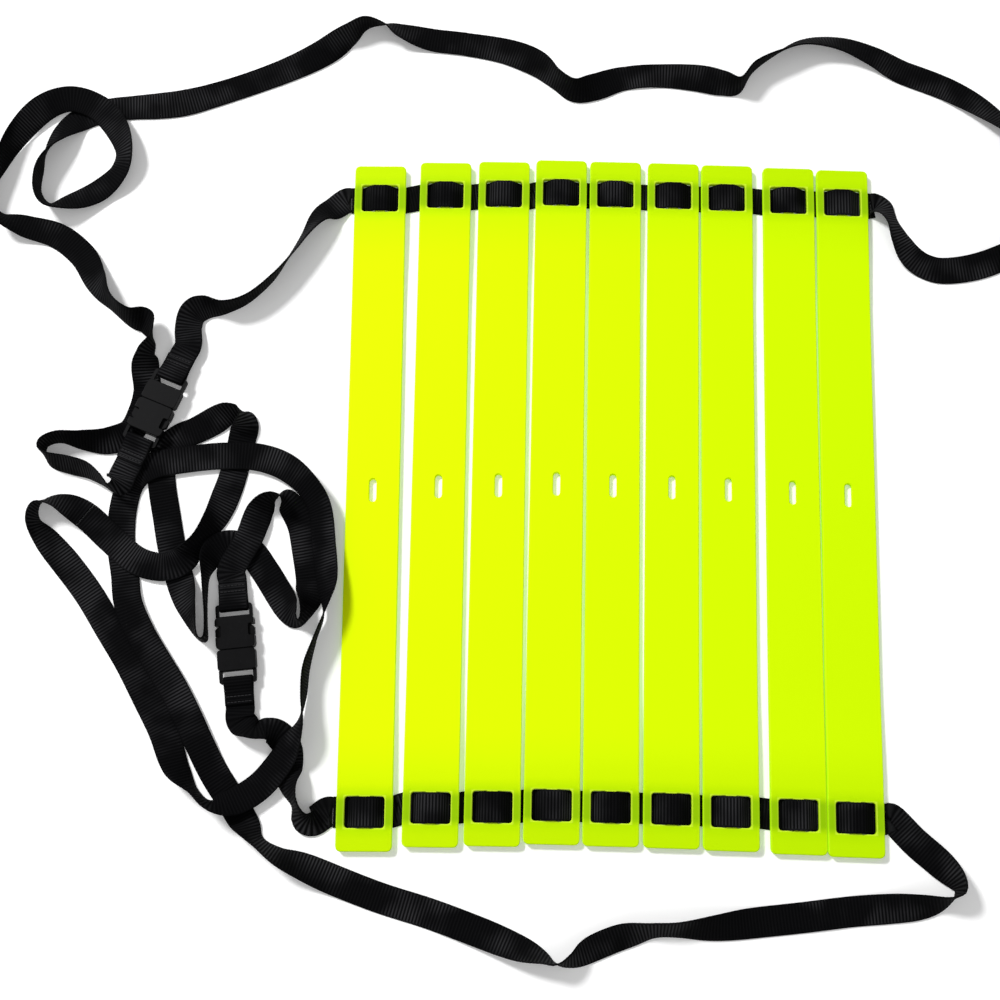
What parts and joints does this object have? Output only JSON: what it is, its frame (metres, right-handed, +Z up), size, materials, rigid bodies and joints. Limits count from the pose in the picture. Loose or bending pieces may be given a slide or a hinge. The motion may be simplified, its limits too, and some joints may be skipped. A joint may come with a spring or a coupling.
{
  "type": "agility ladder",
  "caption": "Flat-rung agility ladder bundled for storage: rungs side by side on two webbing straps, whose ends meet in side release buckles.",
  "frame": {"origin": "middle of the bundle of rungs and woven straps, at floor level", "axes": "+Z up, +Y along the rungs towards the far strap, +X across the rungs, away from the buckles"},
  "size_m": [0.7899, 0.6945, 0.0244],
  "materials": {
    "rung_1_plastic": "satin moulded",
    "rung_2_plastic": "satin moulded",
    "rung_3_plastic": "satin moulded",
    "rung_4_plastic": "satin moulded",
    "rung_5_plastic": "satin moulded",
    "rung_6_plastic": "satin moulded",
    "rung_7_plastic": "satin moulded",
    "rung_8_plastic": "satin moulded",
    "rung_9_plastic": "satin moulded",
    "far_strap_woven_webbing": "ribbed flat webbing",
    "near_strap_woven_webbing": "ribbed flat webbing",
    "far_strap_left_webbing": "ribbed flat webbing",
    "far_strap_sweep_webbing": "ribbed flat webbing",
    "far_strap_coil_webbing": "ribbed flat webbing",
    "near_strap_left_webbing": "ribbed flat webbing",
    "near_strap_sweep_webbing": "ribbed flat webbing",
    "near_strap_outer_loop_webbing": "ribbed flat webbing",
    "near_strap_inner_loop_webbing": "ribbed flat webbing",
    "far_left_end_loop_webbing": "ribbed flat webbing",
    "far_right_end_loop_webbing": "ribbed flat webbing",
    "near_left_end_loop_webbing": "ribbed flat webbing",
    "near_right_end_loop_webbing": "ribbed flat webbing",
    "buckle_a_socket_plastic": "fine moulded grain",
    "buckle_a_plug_plastic": "fine moulded grain",
    "buckle_a_arm_left_plastic": "fine moulded grain",
    "buckle_a_arm_right_plastic": "fine moulded grain",
    "buckle_b_socket_plastic": "fine moulded grain",
    "buckle_b_plug_plastic": "fine moulded grain",
    "buckle_b_arm_left_plastic": "fine moulded grain",
    "buckle_b_arm_right_plastic": "fine moulded grain"
  },
  "bodies": {
    "straps": {"far_strap_woven": "far_strap_woven_webbing", "near_strap_woven": "near_strap_woven_webbing", "far_strap_left": "far_strap_left_webbing", "far_strap_sweep": "far_strap_sweep_webbing", "far_strap_coil": "far_strap_coil_webbing", "near_strap_left": "near_strap_left_webbing", "near_strap_sweep": "near_strap_sweep_webbing", "near_strap_outer_loop": "near_strap_outer_loop_webbing", "near_strap_inner_loop": "near_strap_inner_loop_webbing", "buckle_a_socket": "buckle_a_socket_plastic", "buckle_b_socket": "buckle_b_socket_plastic", "far_right_end_loop": "far_right_end_loop_webbing", "near_right_end_loop": "near_right_end_loop_webbing"},
    "rung_1": {"rung_1": "rung_1_plastic"},
    "rung_2": {"rung_2": "rung_2_plastic"},
    "rung_3": {"rung_3": "rung_3_plastic"},
    "rung_4": {"rung_4": "rung_4_plastic"},
    "rung_5": {"rung_5": "rung_5_plastic"},
    "rung_6": {"rung_6": "rung_6_plastic"},
    "rung_7": {"rung_7": "rung_7_plastic"},
    "rung_8": {"rung_8": "rung_8_plastic"},
    "rung_9": {"rung_9": "rung_9_plastic"},
    "plug_a": {"buckle_a_plug": "buckle_a_plug_plastic", "far_left_end_loop": "far_left_end_loop_webbing"},
    "plug_b": {"buckle_b_plug": "buckle_b_plug_plastic", "near_left_end_loop": "near_left_end_loop_webbing"},
    "arm_left_a": {"buckle_a_arm_left": "buckle_a_arm_left_plastic"},
    "arm_right_a": {"buckle_a_arm_right": "buckle_a_arm_right_plastic"},
    "arm_left_b": {"buckle_b_arm_left": "buckle_b_arm_left_plastic"},
    "arm_right_b": {"buckle_b_arm_right": "buckle_b_arm_right_plastic"}
  },
  "joints": [
    {"name": "rung_1_slide", "type": "slide", "parent": "straps", "child": "rung_1", "axis": [1, 0, 0], "range_m": [-0.008, 0.00618], "deforming": ["far_strap_woven", "near_strap_woven", "far_strap_left", "near_strap_left", "near_strap_outer_loop", "near_strap_inner_loop", "near_strap_sweep"]},
    {"name": "rung_2_slide", "type": "slide", "parent": "straps", "child": "rung_2", "axis": [1, 0, 0], "range_m": [-0.00618, 0.00329], "deforming": ["far_strap_woven", "near_strap_woven"]},
    {"name": "rung_3_slide", "type": "slide", "parent": "straps", "child": "rung_3", "axis": [1, 0, 0], "range_m": [-0.00329, 0.00164], "deforming": ["far_strap_woven", "near_strap_woven"]},
    {"name": "rung_4_slide", "type": "slide", "parent": "straps", "child": "rung_4", "axis": [1, 0, 0], "range_m": [-0.00164, 0.00159], "deforming": ["far_strap_woven", "near_strap_woven"]},
    {"name": "rung_5_slide", "type": "slide", "parent": "straps", "child": "rung_5", "axis": [1, 0, 0], "range_m": [-0.00159, 0.00245], "deforming": ["far_strap_woven", "near_strap_woven"]},
    {"name": "rung_6_slide", "type": "slide", "parent": "straps", "child": "rung_6", "axis": [1, 0, 0], "range_m": [-0.00245, 0.00167], "deforming": ["far_strap_woven", "near_strap_woven"]},
    {"name": "rung_7_slide", "type": "slide", "parent": "straps", "child": "rung_7", "axis": [1, 0, 0], "range_m": [-0.00167, 0.00709], "deforming": ["far_strap_woven", "near_strap_woven"]},
    {"name": "rung_8_slide", "type": "slide", "parent": "straps", "child": "rung_8", "axis": [1, 0, 0], "range_m": [-0.00709, 0.00018], "deforming": ["far_strap_woven", "near_strap_woven"]},
    {"name": "rung_9_slide", "type": "slide", "parent": "straps", "child": "rung_9", "axis": [1, 0, 0], "range_m": [-0.00018, 0.008], "deforming": ["far_strap_woven", "near_strap_woven", "far_strap_sweep", "near_strap_sweep"]},
    {"name": "plug_a_slide", "type": "slide", "parent": "straps", "child": "plug_a", "axis": [0.3697, 0.9291, 0], "range_m": [0, 0.022], "deforming": ["far_strap_left", "far_strap_coil", "buckle_a_arm_left", "buckle_a_arm_right"]},
    {"name": "plug_b_slide", "type": "slide", "parent": "straps", "child": "plug_b", "axis": [0.1259, -0.992, 0], "range_m": [0, 0.022], "deforming": ["near_strap_left", "near_strap_outer_loop", "near_strap_inner_loop", "buckle_b_arm_left", "buckle_b_arm_right"]},
    {"name": "arm_left_a_flex", "type": "hinge", "parent": "plug_a", "child": "arm_left_a", "pos_m": [-0.33272, 0.05928, 0.0066], "axis": [0, 0, 1], "range_deg": [0, 15], "stiffness_Nm_per_rad": 0.02},
    {"name": "arm_right_a_flex", "type": "hinge", "parent": "plug_a", "child": "arm_right_a", "pos_m": [-0.31748, 0.05322, 0.0066], "axis": [0, 0, 1], "range_deg": [-15, 0], "stiffness_Nm_per_rad": 0.02},
    {"name": "arm_left_b_flex", "type": "hinge", "parent": "plug_b", "child": "arm_left_b", "pos_m": [-0.24915, -0.11853, 0.005], "axis": [0, 0, 1], "range_deg": [0, 15], "stiffness_Nm_per_rad": 0.02},
    {"name": "arm_right_b_flex", "type": "hinge", "parent": "plug_b", "child": "arm_right_b", "pos_m": [-0.26542, -0.12059, 0.005], "axis": [0, 0, 1], "range_deg": [-15, 0], "stiffness_Nm_per_rad": 0.02}
  ],
  "couplings": [
    {"joint": "arm_right_a_flex", "follows": "arm_left_a_flex", "ratio": -1},
    {"joint": "arm_right_b_flex", "follows": "arm_left_b_flex", "ratio": -1}
  ]
}
